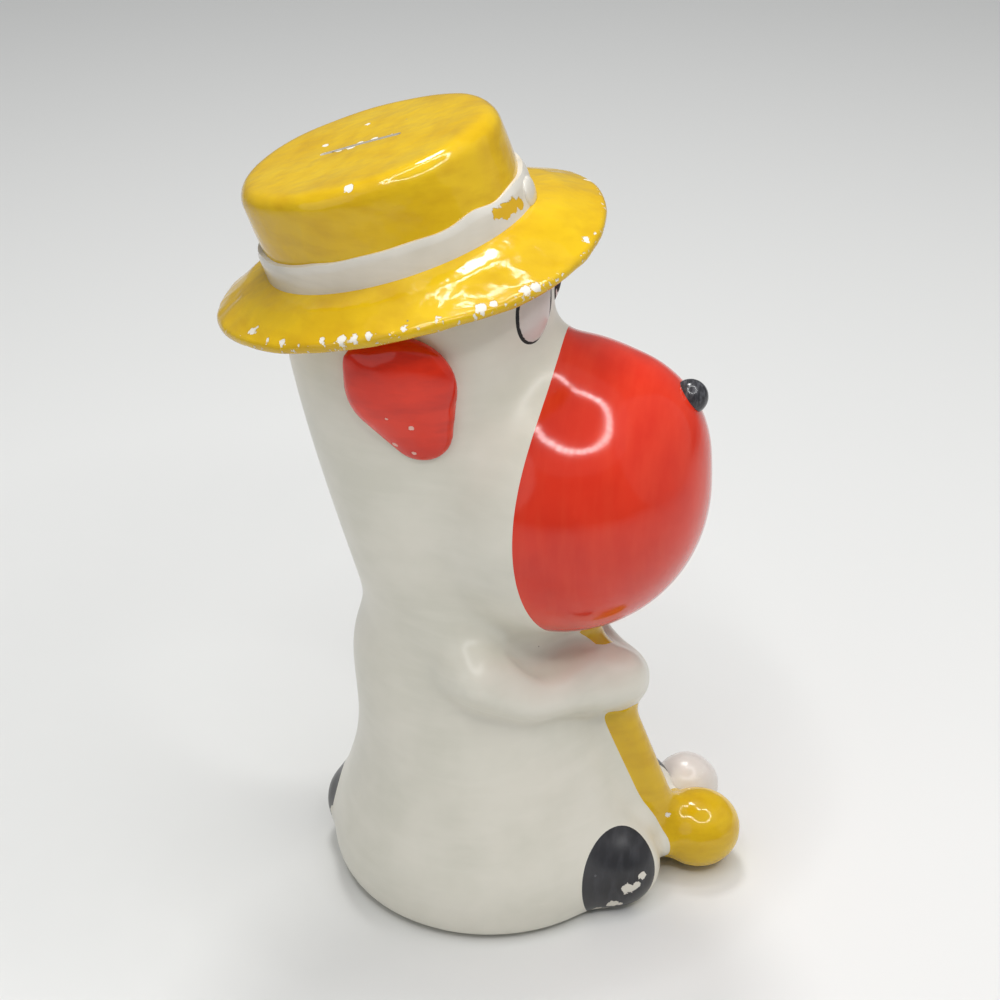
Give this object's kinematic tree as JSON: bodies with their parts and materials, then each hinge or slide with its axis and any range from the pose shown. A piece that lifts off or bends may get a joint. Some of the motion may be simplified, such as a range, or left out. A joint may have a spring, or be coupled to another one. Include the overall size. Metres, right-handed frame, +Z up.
{
  "type": "chalkware figure coin bank",
  "caption": "Hollow painted chalkware coin bank: a seated dog in a tilted boater hat holding a golf club, with a coin slot in the hat and a pull-out base stopper.",
  "frame": {"origin": "on the table, under the middle of the object's box", "axes": "+Z up, the dog faces -Y, its left side is +X"},
  "size_m": [0.1488, 0.2136, 0.3384],
  "materials": {
    "white_enamel": "gloss",
    "red_enamel": "gloss",
    "yellow_enamel": "gloss",
    "black_enamel": "satin",
    "stopper_rubber": "matte"
  },
  "bodies": {
    "figure": {"body_shell": "white_enamel", "head_shell": "white_enamel", "muzzle": "red_enamel", "nose": "black_enamel", "eye_right": "white_enamel", "eye_left": "white_enamel", "ear_right": "red_enamel", "ear_left": "red_enamel", "hat_brim": "yellow_enamel", "hat_crown": "yellow_enamel", "hat_band": "white_enamel", "hat_knot": "white_enamel", "arm_right": "white_enamel", "arm_left": "white_enamel", "club_shaft": "yellow_enamel", "club_head": "yellow_enamel", "golf_ball": "white_enamel", "foot_right": "black_enamel", "foot_left": "black_enamel", "tail": "black_enamel"},
    "stopper": {"base_stopper": "stopper_rubber"}
  },
  "joints": [
    {"name": "stopper_pull", "type": "slide", "parent": "figure", "child": "stopper", "axis": [0, 0, -1], "range_m": [0, 0.06]}
  ]
}
